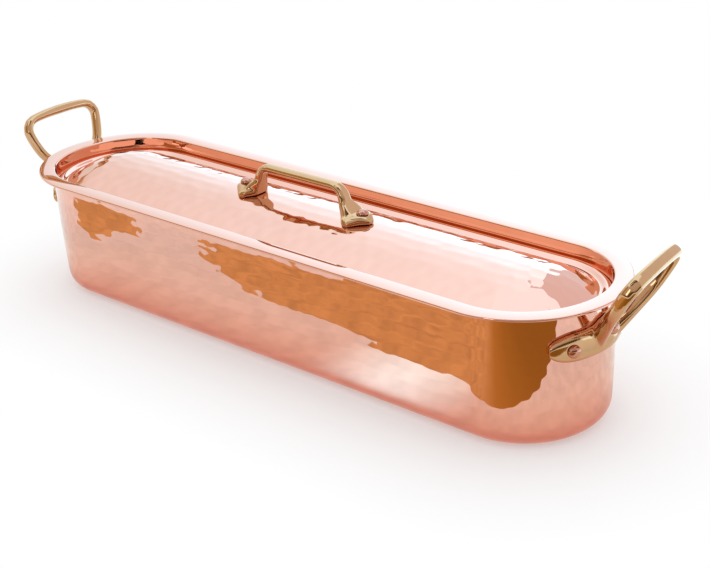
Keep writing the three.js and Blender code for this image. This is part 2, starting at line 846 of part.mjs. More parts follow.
function addPiece(parent, name, geometry, material, turn = 0) {
  const flat = geometry.index ? geometry.toNonIndexed() : geometry;
  flat.deleteAttribute('normal');
  flat.computeVertexNormals();
  const mesh = new THREE.Mesh(mergeVertices(flat), material);
  mesh.name = name;
  mesh.rotation.z = turn * toRadians;
  parent.add(mesh);
}

const pan = new THREE.Group();
addPiece(pan, 'pan_body', makePan(), copper);
for (const place of ends) {
  const { end, turn, set } = place;
  addPiece(pan, `handle_${end}`, makeHandle(place), bronze, turn);
  for (const rivet of handleRivets) {
    const seen = turn ? { near: 'far', middle: 'middle', far: 'near' }[rivet.place] : rivet.place;
    addPiece(pan, `rivet_${end}_${seen}`, makeHandleRivet(rivet, set), rivetCopper, turn);
  }
}

const lid = new THREE.Group();
addPiece(lid, 'lid_panel', makeLid(), copper);
addPiece(lid, 'lid_handle', makeBridge(), bronze);
for (const [end, side] of [['right', 1], ['left', -1]]) {
  addPiece(lid, `lid_rivet_${end}`, makeLidRivet(side), rivetCopper);
}

const rack = new THREE.Group();
addPiece(rack, 'rack_plate', makeRackPlate(), tinned);
corners.forEach((corner, i) => {
  addPiece(rack, `rack_foot_${i + 1}`, makeFoot(corner), tinned);
  addPiece(rack, `rack_saddle_${i + 1}`, makeSaddle(corner), tinned);
  addPiece(rack, `rack_rivet_${i + 1}`, makeSaddleRivet(corner), tinned);
});
for (const [end, side] of [['right', 1], ['left', -1]]) {
  addPiece(rack, `rack_grip_${end}`, makeGrip(side), tinned);
}

poacher.add(pan, lid, rack);

export default poacher;
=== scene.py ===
# %% [markdown]
# # A long copper poaching pan
# The real thing is a deep, narrow copper pan with round ends, about half a metre long, for poaching a
# whole fish. A smith rolls, planishes and polishes copper sheet for it, wipes its inside with molten tin,
# and rivets on handles that a founder cast in bronze. In this lesson each piece is shaped the way its
# maker would think of it: turned, pulled long, hammered, cast or riveted.
#
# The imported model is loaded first. It fixes the size and the place of every piece, so nothing here has to
# be fitted by eye.

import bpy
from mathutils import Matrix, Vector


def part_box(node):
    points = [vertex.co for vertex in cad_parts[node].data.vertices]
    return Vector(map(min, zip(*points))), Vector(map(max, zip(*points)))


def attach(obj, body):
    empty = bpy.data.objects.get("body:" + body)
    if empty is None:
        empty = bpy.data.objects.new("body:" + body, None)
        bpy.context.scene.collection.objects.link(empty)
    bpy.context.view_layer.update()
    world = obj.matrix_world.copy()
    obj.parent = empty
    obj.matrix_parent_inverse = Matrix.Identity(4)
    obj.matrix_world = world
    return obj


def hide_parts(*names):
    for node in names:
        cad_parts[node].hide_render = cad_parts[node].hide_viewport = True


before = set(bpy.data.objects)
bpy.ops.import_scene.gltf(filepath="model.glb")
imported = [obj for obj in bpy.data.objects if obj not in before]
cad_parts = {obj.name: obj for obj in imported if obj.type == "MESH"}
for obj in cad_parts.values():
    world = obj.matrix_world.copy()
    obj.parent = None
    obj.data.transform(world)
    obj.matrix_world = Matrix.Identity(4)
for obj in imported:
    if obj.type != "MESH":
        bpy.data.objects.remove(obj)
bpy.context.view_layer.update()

import math
import random

import bmesh
import bpy
import numpy as np
from mathutils import Matrix, Vector

MM = 0.001

# %% [markdown]
# ## The camera
# The pan was seen from a little above and past its right end. The lens is a short telephoto, which keeps
# the two long sides nearly parallel. The camera comes first, so that every later piece can be looked at
# from the view that matters. Its three axes are worked out from a turn round the pan, a height above the
# horizon and a small tilt of the frame.

# %% Place the camera
CAMERA_DISTANCE, CAMERA_LENS, SENSOR_WIDTH = 1064.1, 76.24, 36

camera_turn, camera_height, camera_tilt = (math.radians(angle) for angle in (43.06, 24.12, -3.37))
camera_target = Vector((46.8, -0.8, 52.5)) * MM
back = Vector((
    math.sin(camera_turn) * math.cos(camera_height),
    -math.cos(camera_turn) * math.cos(camera_height),
    math.sin(camera_height),
))
level_right = (-back).cross(Vector((0, 0, 1))).normalized()
level_up = level_right.cross(-back)
tilt_cos, tilt_sin = math.cos(camera_tilt), math.sin(camera_tilt)
right = level_right * tilt_cos + level_up * tilt_sin
up = level_up * tilt_cos - level_right * tilt_sin

bpy.ops.object.camera_add()
camera = bpy.context.object
camera.data.sensor_width = SENSOR_WIDTH
camera.data.lens = CAMERA_LENS
camera.data.clip_start, camera.data.clip_end = 0.05, 20
axes = Matrix((right, up, back)).transposed().to_4x4()
camera.matrix_world = Matrix.Translation(camera_target + back * (CAMERA_DISTANCE * MM)) @ axes
bpy.context.scene.camera = camera
print("camera stands at", [round(value, 3) for value in camera.matrix_world.translation])

# %% [markdown]
# ## Picking by place
# By hand you would click the parts of a mesh that the next tool should change. In a script they are found
# by where they lie. Everything is deselected first, because an operator acts on all that is selected.

# %% Helpers for selecting
def clear_selection():
    """Leaves edit mode and deselects every object."""
    if bpy.context.object and bpy.context.object.mode != "OBJECT":
        bpy.ops.object.mode_set(mode="OBJECT")
    bpy.ops.object.select_all(action="DESELECT")


def edit(piece):
    """Opens a piece in edit mode, alone."""
    clear_selection()
    bpy.context.view_layer.objects.active = piece
    piece.select_set(True)
    bpy.ops.object.mode_set(mode="EDIT")


def pick(piece, kind, test):
    """Selects the vertices or edges of which the test is true."""
    bpy.ops.mesh.select_mode(type=kind)
    bpy.ops.mesh.select_all(action="DESELECT")
    mesh = bmesh.from_edit_mesh(piece.data)
    for part in {"VERT": mesh.verts, "EDGE": mesh.edges}[kind]:
        if test(part):
            part.select_set(True)
    bmesh.update_edit_mesh(piece.data)


# %% [markdown]
# ## From a round pot to a long pan
# A long pan with round ends is a round pot that has been cut through the middle and pulled apart. So the
# pan and its lid are made as a potter would: one ring after another, from the middle outwards. Then the
# two halves are moved apart, and the faces that were stretched between them are divided again.
#
# An outline holds the radius and height of each ring in millimetres. It runs up the outside, round the
# edge of the sheet and back on the inside, so the sheet has its real thickness everywhere. The outer
# rings lie close together, because the hammer marks need many points. The inner ones can be few.

# %% Turn an outline ring by ring
SPINE = 192.5 * MM                # from the middle of the pan to the middle of a round end
ROUND_STEPS, COLUMNS = 224, 256   # points round the two ends together, and faces along each straight side


def arc(middle, radius, start, end, steps):
    """Points of an arc, in millimetres and degrees, with both ends."""
    angles = [math.radians(start + (end - start) * step / steps) for step in range(steps + 1)]
    return [(middle[0] + radius * math.cos(a), middle[1] + radius * math.sin(a)) for a in angles]


def turned(outline, steps):
    """A closed round shape: a disc for the first point, an extruded ring for each further point."""
    clear_selection()
    radius, height = outline[0]
    bpy.ops.mesh.primitive_circle_add(
        vertices=steps, radius=radius * MM, fill_type="NGON",
        location=(0, 0, height * MM), rotation=(0, 0, math.pi / steps),
    )
    piece = bpy.context.object
    bpy.ops.object.transform_apply(location=True, rotation=True, scale=True)
    bpy.ops.object.mode_set(mode="EDIT")
    bpy.ops.mesh.select_mode(type="EDGE")
    bpy.ops.mesh.select_all(action="SELECT")
    for next_radius, next_height in outline[1:]:
        bpy.ops.mesh.extrude_edges_move()
        bpy.ops.transform.translate(value=(0, 0, (next_height - height) * MM))
        share = next_radius / radius
        bpy.ops.transform.resize(value=(share, share, 1))
        radius, height = next_radius, next_height
    bpy.ops.mesh.edge_face_add()
    bpy.ops.mesh.select_all(action="SELECT")
    bpy.ops.mesh.normals_make_consistent(inside=False)
    bpy.ops.object.mode_set(mode="OBJECT")
    return piece


def pull_apart(piece):
    """Moves the two halves to the ends of the spine, and divides the faces stretched between them."""
    edit(piece)
    for side in (-1, 1):
        pick(piece, "VERT", lambda vert: vert.co.x * side > 0)
        bpy.ops.transform.translate(value=(side * SPINE, 0, 0))
    pick(piece, "EDGE", lambda edge: abs(edge.verts[0].co.x - edge.verts[1].co.x) > SPINE)
    bpy.ops.mesh.subdivide(number_cuts=COLUMNS - 1)
    bpy.ops.object.mode_set(mode="OBJECT")


def shade(piece, angle):
    """Shades a piece smooth, apart from edges that turn by more than an angle in degrees."""
    clear_selection()
    piece.select_set(True)
    bpy.context.view_layer.objects.active = piece
    bpy.ops.object.shade_smooth_by_angle(angle=math.radians(angle))


# %% Turn and stretch the pan
SHEET, FLOOR_ROUND = 2, 14                        # thickness, and radius of the edge round the floor
WALL_RADIUS, WALL_TAPER, WALL_ROWS = 59.3, 2, 54  # the wall is narrower by its taper at the foot
RIM_TOP, RIM_RADIUS, RIM_MIDDLE = 98, 70, 64      # one more ring lies in the middle of the rim
UNDER_ROUND, EDGE_ROUND, MOUTH_ROUND = 0.4, 0.9, 1.2
WALL_TOP = RIM_TOP - SHEET - UNDER_ROUND
WALL_FOOT = WALL_RADIUS - WALL_TAPER


def wall_radius(height):
    """Outer radius of the wall, which opens fast at the foot and straightens towards the rim."""
    drop = (WALL_TOP - height) / (WALL_TOP - FLOOR_ROUND)
    return WALL_RADIUS - WALL_TAPER * drop ** 2


def wall_rings(rows):
    """Rings up the wall's outer face, at even steps of height."""
    heights = [FLOOR_ROUND + (WALL_TOP - FLOOR_ROUND) * row / rows for row in range(rows + 1)]
    return [(wall_radius(height), height) for height in heights]


flat = WALL_FOOT - FLOOR_ROUND
mouth, rim_edge = WALL_RADIUS - SHEET, RIM_RADIUS - EDGE_ROUND
pan_outline = arc((flat, FLOOR_ROUND), FLOOR_ROUND, -90, 0, 9)[:-1]
pan_outline += wall_rings(WALL_ROWS)
pan_outline += arc((WALL_RADIUS + UNDER_ROUND, WALL_TOP), UNDER_ROUND, 180, 90, 2)[1:]
pan_outline += [(RIM_MIDDLE, RIM_TOP - SHEET)]
pan_outline += arc((rim_edge, RIM_TOP - SHEET + EDGE_ROUND), EDGE_ROUND, -90, 0, 3)
pan_outline += arc((rim_edge, RIM_TOP - EDGE_ROUND), EDGE_ROUND, 0, 90, 3)
pan_outline += [(RIM_MIDDLE, RIM_TOP)]
pan_outline += arc((mouth + MOUTH_ROUND, RIM_TOP - MOUTH_ROUND), MOUTH_ROUND, 90, 180, 4)
pan_outline += [(radius - SHEET, height) for radius, height in wall_rings(14)[::-1]]
pan_outline += arc((flat, FLOOR_ROUND), FLOOR_ROUND - SHEET, 0, -90, 5)[1:]

pan = turned(pan_outline, ROUND_STEPS)
pull_apart(pan)
print("the pan is", [round(size / MM, 1) for size in pan.dimensions], "mm, its floor faces",
      "down" if min(pan.data.polygons, key=lambda face: face.center.z).normal.z < 0 else "up")

# %% [markdown]
# ## Hammer marks
# Planishing leaves one shallow dish for each blow, about 11 mm wide and 8 mm high, in rows along the
# walls. Round the ends the blows are lighter. The dishes are a tenth of a millimetre deep, yet they
# break every reflection into scallops. A bump in the material would not bend the outline of a
# reflection as well, and it would be lost close up, so the points of the mesh themselves are pressed in.
# Each point looks for the blows near it and takes about the deepest press. Where two dishes meet there
# is a low ridge, rounded by the polishing.

# %% Helpers for hammer blows
BLOWS = 4096                            # different blows, picked by row and column
ROW_STRIDE, COLUMN_STRIDE, FIRST_BLOW = 61, 7, 900
STRAY_ALONG, STRAY_ACROSS = 0.12, 0.22  # how far a blow strays, as shares of the distance between blows
BLOW_REACH, FORCE_SPREAD = 0.6, 0.2     # half a dish's width as such a share, and how the force differs


def dishes(along, across, pitch_along, pitch_across, deepest, crisp, seed):
    """Depth at each point of a sheet beaten in staggered rows. Lengths in mm; crisp sharpens ridges."""
    chance = random.Random(seed)
    table = np.array([[chance.uniform(-1, 1) for _ in range(3)] for _ in range(BLOWS)])
    row = np.floor(across / pitch_across).astype(int)
    presses = np.zeros(len(along))
    for row_step in (-1, 0, 1, 2):
        this_row = row + row_step
        shift = 0.5 * (this_row % 2)
        column = np.floor(along / pitch_along - shift).astype(int)
        for column_step in (-1, 0, 1, 2):
            this_column = column + column_step
            jitter = table[(this_row * ROW_STRIDE + this_column * COLUMN_STRIDE + FIRST_BLOW) % BLOWS]
            middle_along = (this_column + shift + STRAY_ALONG * jitter[:, 0]) * pitch_along
            middle_across = (this_row + STRAY_ACROSS * jitter[:, 1]) * pitch_across
            reach = ((along - middle_along) / (BLOW_REACH * pitch_along)) ** 2
            reach += ((across - middle_across) / (BLOW_REACH * pitch_across)) ** 2
            presses += np.exp(crisp * (1 + FORCE_SPREAD * jitter[:, 2]) * (1 - reach))
    return deepest * np.log(1 + presses) / crisp


def points_of(piece):
    """The points of a piece as rows of three numbers, in metres."""
    values = np.empty(len(piece.data.vertices) * 3, dtype=np.float32)
    piece.data.vertices.foreach_get("co", values)
    return values.reshape(-1, 3)


def put_points(piece, points):
    """Moves the points of a piece to new places."""
    piece.data.vertices.foreach_set("co", points.ravel())
    piece.data.update()


def fade(values, start, end):
    """0 before the start, 1 after the end and smooth between."""
    share = np.clip((values - start) / (end - start), 0, 1)
    return share * share * (3 - 2 * share)


# %% Press the blows into the wall
WALL_DISH = (11.2, 8.2, 0.11)     # length, height and depth of one dish in mm
SIDE_SHIFT = 3                    # moves the rows, so that the two sides differ
DENTS_FROM, DENTS_TO = 12, 95.8   # heights
MID_HEIGHT, SKIN_DEPTH = 50, 0.3  # SKIN_DEPTH tells points of the outer face from those inside
END_LIGHTNESS = 0.5               # how much lighter the blows are round the ends

points = points_of(pan)
x, y, z = (points[:, axis] / MM for axis in range(3))
past_end = np.maximum(np.abs(x) - SPINE / MM, 0)
spread = np.hypot(past_end, y)
skin = np.array([wall_radius(min(max(height, FLOOR_ROUND), WALL_TOP)) for height in z])
outer = (spread > skin - SKIN_DEPTH) & (z > DENTS_FROM) & (z < DENTS_TO)
round_end = wall_radius(MID_HEIGHT) * np.arctan2(past_end, np.abs(y))
along = np.sign(x) * (np.minimum(np.abs(x), SPINE / MM) + round_end)
depth = dishes(along + SIDE_SHIFT * np.sign(y), z, *WALL_DISH, crisp=6, seed=4)
clear_of_edges = fade(z, FLOOR_ROUND, FLOOR_ROUND + 10) * fade(RIM_TOP - SHEET - z, 0, 3)
depth *= clear_of_edges * (1 - END_LIGHTNESS * fade(round_end, 0, 20)) * outer
outward = np.stack([np.sign(x) * past_end, y], axis=1) / np.maximum(spread, 1)[:, None]
points[:, :2] -= outward * depth[:, None] * MM
put_points(pan, points)
shade(pan, 60)
print("blows reach", round(float(depth.max()), 3), "mm deep on", int(outer.sum()), "points")

# %% [markdown]
# ## The lid
# The lid is a shallow dish turned upside down: a low dome, a groove round its foot, a raised bead that
# stiffens the edge, and a narrow flat land that rests inside the pan. It is turned from the middle like
# the pan. Its first ring is so small that it closes to a line when doubles are merged.
#
# The dome was beaten harder than the walls, with dishes of about 12 by 9.5 mm and 0.4 mm deep. The
# groove and the bead were rolled and have none, and neither has the place under each foot of the handle.

# %% Turn and stretch the lid
LID_CROWN, LAND = 101.8, 86               # heights of the top of the dome and of the flat land
LID_EDGE, DOME_FOOT = 56.97, 45.97        # radii
DOME_STEP, DOME_RINGS, LID_SHEET = 0.8, 30, 1.5
GROOVE, BEAD, BEAD_FOOT = 8.4, 3.2, 0.8   # how far each lies inside the lid's edge
BEAD_HEIGHT, EDGE_CUT = 2.4, 0.3
CLOSED = 0.02                             # radius of the first ring


def dome_height(radius):
    """Height of the dome's upper face, which is part of a large ball."""
    rise = LID_CROWN - LAND - DOME_STEP
    curve = (DOME_FOOT ** 2 + rise ** 2) / (2 * rise)
    return LID_CROWN - curve + math.sqrt(curve ** 2 - radius ** 2)


def smooth_step(start, end, steps):
    """Points of a soft step from one place to the next, without its first."""
    shares = [step / steps for step in range(1, steps + 1)]
    return [(start[0] + (end[0] - start[0]) * share,
             start[1] + (end[1] - start[1]) * (1 - math.cos(share * math.pi)) / 2) for share in shares]


def lid_rings(rings, steps):
    """Half outline of the lid's upper face, from its middle to its edge."""
    outline = [(CLOSED, LID_CROWN)]
    outline += [(DOME_FOOT * ring / rings, dome_height(DOME_FOOT * ring / rings))
                for ring in range(1, rings + 1)]
    outline += smooth_step(outline[-1], (LID_EDGE - GROOVE, LAND), steps // 2)
    outline += smooth_step(outline[-1], (LID_EDGE - BEAD, LAND + BEAD_HEIGHT), steps)
    outline += smooth_step(outline[-1], (LID_EDGE - BEAD_FOOT, LAND), steps)
    return outline


lid_outline = lid_rings(DOME_RINGS, 8)
lid_outline += [(LID_EDGE - EDGE_CUT, LAND), (LID_EDGE, LAND - EDGE_CUT), (LID_EDGE, LAND - LID_SHEET)]
lid_outline += [(radius, height - LID_SHEET) for radius, height in lid_rings(8, 4)[::-1]]

lid = turned(lid_outline, ROUND_STEPS)
pull_apart(lid)
edit(lid)
bpy.ops.mesh.select_all(action="SELECT")
bpy.ops.mesh.remove_doubles(threshold=0.1 * MM)
bpy.ops.mesh.dissolve_degenerate(threshold=0.01 * MM)
bpy.ops.mesh.normals_make_consistent(inside=False)
bpy.ops.object.mode_set(mode="OBJECT")
print("the lid is", [round(size / MM, 1) for size in lid.dimensions], "mm with",
      len(lid.data.polygons), "faces")

# %% Press the blows into the dome
LID_DISH = (12, 9.5, 0.42)
FOOT_PLACE, FOOT_LENGTH, FOOT_WIDTH = 57, 16, 20   # from the lid's middle to a foot, and half its size

points = points_of(lid)
x, y, z = (points[:, axis] / MM for axis in range(3))
spread = np.hypot(np.maximum(np.abs(x) - SPINE / MM, 0), y)
top = z > np.array([dome_height(min(radius, DOME_FOOT)) for radius in spread]) - LID_SHEET / 2
depth = dishes(x, y, *LID_DISH, crisp=10, seed=9)
under_foot = np.hypot((np.abs(x) - FOOT_PLACE) / FOOT_LENGTH, y / FOOT_WIDTH)
depth *= fade(DOME_FOOT - spread, 0, 1.5) * fade(under_foot, 0.95, 1.2) * top
points[:, 2] -= depth * MM
put_points(lid, points)
shade(lid, 60)
print("blows reach", round(float(depth.max()), 3), "mm deep on", int((depth > 0).sum()), "points")

# %% [markdown]
# ## Cast handles
# The handles are sand castings. Molten bronze can't fill a sharp inside corner, so wherever one form
# meets another on a casting there is a soft hollow, and the founder's files round all that stands out.
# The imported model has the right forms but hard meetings. A voxel remesh melts its parts into one skin,
# and a few rounds of smoothing give the soft hollows. The feet of the lid's handle are then lowered
# towards their edges.

# %% Melt the plain handles into castings
VOXEL, SMOOTH_ROUNDS = 0.55, 26
FOOT_DROP, FOOT_HEIGHT = 3.2, 6   # how far a foot's edges drop, and the height over which that grows


def cast_from(node):
    """A copy of a plain node, remeshed and smoothed as a casting."""
    clear_selection()
    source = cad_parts[node]
    piece = bpy.data.objects.new(node + "_cast", source.data.copy())
    bpy.context.scene.collection.objects.link(piece)
    piece.data.materials.clear()
    edit(piece)
    bpy.ops.mesh.select_all(action="SELECT")
    bpy.ops.mesh.remove_doubles(threshold=0.01 * MM)
    bpy.ops.object.mode_set(mode="OBJECT")
    skin = piece.modifiers.new("skin", "REMESH")
    skin.mode = "VOXEL"
    skin.voxel_size = VOXEL * MM
    skin.use_smooth_shade = True
    bpy.ops.object.modifier_apply(modifier=skin.name)
    files = piece.modifiers.new("files", "SMOOTH")
    files.factor = 0.5
    files.iterations = SMOOTH_ROUNDS
    bpy.ops.object.modifier_apply(modifier=files.name)
    return piece


def thin_feet(piece):
    """Lowers the feet of the lid's handle towards their tips and sides, so that they look like hooves."""
    points = points_of(piece)
    along, across, height = (points[:, axis] / MM for axis in range(3))
    ground = np.array([dome_height(min(abs(place), DOME_FOOT)) for place in across])
    share = np.clip((height - ground) / FOOT_HEIGHT, 0, 1)
    tips = fade(np.abs(along), 59, 69)
    sides = fade(np.abs(across), 5, 16) * fade(np.abs(along), 44, 50)
    points[:, 2] -= FOOT_DROP * np.minimum(tips + sides, 1) * share * MM
    put_points(piece, points)


def finish_piece(piece, name, body, slot, *replaced):
    """Names a finished piece, lets it ride on its body and hides the plain nodes that it stands for."""
    clear_selection()
    piece.name = name
    piece.data.name = name
    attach(piece, body)
    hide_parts(*replaced)
    print(name, "has", len(piece.data.polygons), "faces")


castings = []
for node, body in (("handle_right", "pan"), ("handle_left", "pan"), ("lid_handle", "lid")):
    castings.append(cast_from(node))
    if node == "lid_handle":
        thin_feet(castings[-1])
    finish_piece(castings[-1], node + "_cast", body, "cast_bronze", node)

# %% [markdown]
# ## Rivets
# A copper rivet is pushed through from the inside, and its end is hammered over the handle into a low
# dome. All rivets here have the same two heads, and only their length differs. It is read from the plain
# rivet at each place, measured along the way it points, and one outline is turned to that length.

# %% Turn a rivet for every place
RIVET_STEPS = 40
HEAD, DOME = 4.4, 3.1        # radius and height of the outer head
BACK_HEAD, BACK = 4.2, 1.4   # and of the inner one
SHANK, NECK = 2.5, 0.05      # radius of the shank, and the small step under each head


def rivet_between(node, origin, way):
    """A rivet from its low inner head to its domed outer head, along a way from an origin."""
    reach = [(vert.co - origin).dot(way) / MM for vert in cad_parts[node].data.vertices]
    low, high = min(reach), max(reach)
    outline = [(BACK_HEAD * math.sin(math.radians(a)), low + BACK * (1 - math.cos(math.radians(a))))
               for a in (8, 30, 50, 70, 90)]
    outline += [(SHANK, low + BACK + NECK), (SHANK, high - DOME - NECK)]
    outline += [(HEAD * math.cos(math.radians(a)), high - DOME + DOME * math.sin(math.radians(a)))
                for a in (0, 12, 24, 36, 48, 60, 72, 82)]
    piece = turned(outline, RIVET_STEPS)
    across = way.orthogonal().normalized()
    turn = Matrix((across, way.cross(across), way)).transposed().to_4x4()
    piece.data.transform(Matrix.Translation(origin) @ turn)
    shade(piece, 50)
    return piece


rivets = []
for end, side in (("right", 1), ("left", -1)):
    for place in ("near", "middle", "far"):
        node = f"rivet_{end}_{place}"
        corners = [Vector(corner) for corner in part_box(node)]
        middle = (corners[0] + corners[1]) / 2
        origin = Vector((side * SPINE, 0, middle.z))
        way = Vector((middle.x - origin.x, middle.y, 0)).normalized()
        rivets.append(rivet_between(node, origin, way))
        finish_piece(rivets[-1], node + "_turned", "pan", "copper_rivet", node)
    node = f"lid_rivet_{end}"
    rivets.append(rivet_between(node, Vector((side * FOOT_PLACE * MM, 0, 0)), Vector((0, 0, 1))))
    finish_piece(rivets[-1], node + "_turned", "lid", "copper_rivet", node)

# %% [markdown]
# ## Materials
# Every metal here is polished, so most of what the eye sees is the room in it. A material starts from the
# metal's own colour. Small changes of colour and roughness, in soft patches of a real size, keep it from
# looking like plastic film. One helper adds a node with its settings and links, one turns a written
# colour to light, and one mixes a metal from two colours and two roughnesses.

# %% Helpers for materials
def colour(text):
    """A colour written as #RRGGBB, as linear light."""
    values = [int(text[place:place + 2], 16) / 255 for place in (1, 3, 5)]
    linear = [v / 12.92 if v <= 0.04045 else ((v + 0.055) / 1.055) ** 2.4 for v in values]
    return (*linear, 1)


def add_node(tree, kind, settings=None, links=None):
    """Adds a node and sets and links its inputs, by name or number, or its own settings."""
    node = tree.nodes.new(kind)
    for name, value in (settings or {}).items():
        if isinstance(name, int) or name in node.inputs:
            node.inputs[name].default_value = value
        else:
            setattr(node, name, value)
    for name, (source, output) in (links or {}).items():
        tree.links.new(source.outputs[output], node.inputs[name])
    return node


def mixed_metal(name, dark, light, patch, detail, roughness):
    """A metal between two colours and two roughnesses, in patches of a size in millimetres."""
    material = bpy.data.materials.new(name)
    material.use_nodes = True
    tree = material.node_tree
    shader = tree.nodes["Principled BSDF"]
    shader.inputs["Metallic"].default_value = 1
    place = add_node(tree, "ShaderNodeTexCoord")
    cloud = add_node(tree, "ShaderNodeTexNoise", {"Scale": 1 / (patch * MM), "Detail": detail},
                     {"Vector": (place, "Object")})
    tint = add_node(tree, "ShaderNodeValToRGB", None, {"Fac": (cloud, "Fac")})
    tint.color_ramp.elements[0].color = colour(dark)
    tint.color_ramp.elements[1].color = colour(light)
    tree.links.new(tint.outputs["Color"], shader.inputs["Base Color"])
    smoothest, roughest = roughness
    if smoothest == roughest:
        shader.inputs["Roughness"].default_value = roughest
    else:
        polish = add_node(tree, "ShaderNodeMapRange", {"To Min": smoothest, "To Max": roughest},
                          {"Value": (cloud, "Fac")})
        tree.links.new(polish.outputs["Result"], shader.inputs["Roughness"])
    print(name, "drifts from", dark, "to", light, "over about", patch, "mm")
    return material


# %% Polished copper sheet
# Copper sheet, planished, polished and lacquered. It mirrors the room almost sharply, in pink, and the
# lacquer adds a thin white shine at low angles.
copper = mixed_metal(
    "polished_copper_sheet", "#EDAE98", "#F1B6A1", patch=45, detail=3, roughness=(0.02, 0.035))
shader = copper.node_tree.nodes["Principled BSDF"]
shader.inputs["Coat Weight"].default_value = 1
shader.inputs["Coat Roughness"].default_value = 0.02

# %% Bare copper inside the rim, with painted reflection
# Inside the rim, above the tin, the sheet is bare copper and isn't lacquered. Its colour is painted a shade
# deeper and more orange than the outside, as painted reflection of the copper walls in each other.
rim_band_painted_reflection = mixed_metal(
    "rim_copper_painted_reflection", "#E6A583", "#EEAF8D", patch=30, detail=4, roughness=(0.03, 0.06))

# %% Wiped tin
# Tin, melted onto the copper and wiped with a rag while it was soft. It is grey and warm, duller than the
# copper, and its low ripples blur what it mirrors.
tin = mixed_metal(
    "wiped_tin", "#BDB3AA", "#CDC4BB", patch=11, detail=4, roughness=(0.10, 0.2))
tree = tin.node_tree
ripple = add_node(tree, "ShaderNodeTexNoise", {"Scale": 1 / (7 * MM), "Detail": 2.0},
                  {"Vector": (tree.nodes["Texture Coordinate"], "Object")})
bump = add_node(tree, "ShaderNodeBump", {"Strength": 0.4, "Distance": 0.1 * MM},
                {"Height": (ripple, "Fac")})
tree.links.new(bump.outputs["Normal"], tree.nodes["Principled BSDF"].inputs["Normal"])

# %% Cast bronze
# Bronze, cast in sand, filed and polished by hand. It is pale gold, and the polish is uneven, so its
# highlights sharpen and soften along a bar.
bronze = mixed_metal(
    "cast_bronze", "#CCA074", "#D7AE85", patch=16, detail=4, roughness=(0.07, 0.15))

# %% Rivet copper
# Copper rod, hammered cold into a head. It is a shade darker and rougher than the polished sheet, in
# small patches the size of a hammer's marks.
rivet_copper = mixed_metal(
    "rivet_copper", "#C0816A", "#D69A83", patch=3.5, detail=3, roughness=(0.12, 0.12))

# %% [markdown]
# ## A metal for each face
# The pan and the lid are copper outside and tin inside. The tin stops below the rim, where the bare
# copper begins. Which side a face is on shows from its normal: inside the wall it points to the spine,
# and on the inner floor it points up.

# %% Give each piece its metal
LINING_TOP, INSIDE_RADIUS, FLOOR_ZONE = 84 * MM, 57.4 * MM, 30 * MM
FACING = 0.3   # how far a face has to point one way to count


def coat(piece, *materials):
    """Gives a piece its metals, the first one everywhere."""
    piece.data.materials.clear()
    for material in materials:
        piece.data.materials.append(material)


coat(pan, copper, tin, rim_band_painted_reflection)
for face in pan.data.polygons:
    middle, normal = face.center, face.normal
    past_end = max(abs(middle.x) - SPINE, 0)
    outward = Vector((math.copysign(past_end, middle.x), middle.y, 0)).normalized()
    wall_inside = math.hypot(past_end, middle.y) < INSIDE_RADIUS and normal.dot(outward) < -FACING
    floor_inside = normal.z > FACING and middle.z < FLOOR_ZONE
    if floor_inside or wall_inside:
        # Above the lining the faces take the bare copper band, whose deeper orange is painted reflection.
        face.material_index = 2 if middle.z > LINING_TOP else 1
coat(lid, copper, tin)
for face in lid.data.polygons:
    face.material_index = 1 if face.normal.z < -0.2 else 0
for casting in castings:
    coat(casting, bronze)
for rivet in rivets:
    coat(rivet, rivet_copper)
for name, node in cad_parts.items():
    if name.startswith("rack"):
        coat(node, tin)
finish_piece(pan, "pan_shell", "pan", "copper_sheet", "pan_body")
finish_piece(lid, "lid_shell", "lid", "copper_sheet", "lid_panel")
print("tinned faces of the pan:", sum(face.material_index == 1 for face in pan.data.polygons))

# %% [markdown]
# ## The studio
# Polished metal shows whatever stands round it. The pan stands on a pale floor in a white room. The world
# is plain white to the camera and lights everything evenly, as a tent of white cloth would. In
# reflections it is a cool, bright ceiling.

# %% White room
world = bpy.data.worlds.new("white_room")
bpy.context.scene.world = world
world.use_nodes = True
tree = world.node_tree
tree.nodes.clear()
rays = add_node(tree, "ShaderNodeLightPath")
white = add_node(tree, "ShaderNodeBackground", {"Color": (1, 1, 1, 1), "Strength": 1.0})
ceiling = add_node(tree, "ShaderNodeBackground", {"Color": (0.70, 0.86, 1, 1), "Strength": 1.8})
room = add_node(tree, "ShaderNodeMixShader", None,
                {"Fac": (rays, "Is Glossy Ray"), 1: (white, 0), 2: (ceiling, 0)})
add_node(tree, "ShaderNodeOutputWorld", None, {"Surface": (room, 0)})
print(world.name, "has", len(tree.nodes), "nodes")

# %% [markdown]
# ## The floor
# The floor is white paper. Close to the pan it takes the pan's soft shadow, and further out it passes
# over into plain white light. Its distance from the pan is measured from the spine, so the same steps run
# round the ends.
#
# The copper sees the paper differently: warm close to the foot, where copper and paper light each other,
# brightest a few centimetres away, and uneven. Light Path's Is Glossy Ray gives it that second look.

# %% Paper that the camera sees
clear_selection()
bpy.ops.mesh.primitive_plane_add(size=8, location=(0, 0, -0.2 * MM))
floor = bpy.context.object
floor.name = "floor"
paper = bpy.data.materials.new("white_paper")
paper.use_nodes = True
tree = paper.node_tree
tree.nodes.clear()
sheet = add_node(tree, "ShaderNodeBsdfDiffuse", {"Color": (0.97, 0.955, 0.96, 1)})
glow = add_node(tree, "ShaderNodeEmission", {"Color": (1, 1, 1, 1)})
where = add_node(tree, "ShaderNodeTexCoord")
parts = add_node(tree, "ShaderNodeSeparateXYZ", None, {"Vector": (where, "Object")})
length = add_node(tree, "ShaderNodeMath", {"operation": "ABSOLUTE"}, {0: (parts, "X")})
past = add_node(tree, "ShaderNodeMath", {"operation": "SUBTRACT", 1: SPINE}, {0: (length, 0)})
end_reach = add_node(tree, "ShaderNodeMath", {"operation": "MAXIMUM", 1: 0}, {0: (past, 0)})
from_spine = add_node(tree, "ShaderNodeCombineXYZ", None, {"X": (end_reach, 0), "Y": (parts, "Y")})
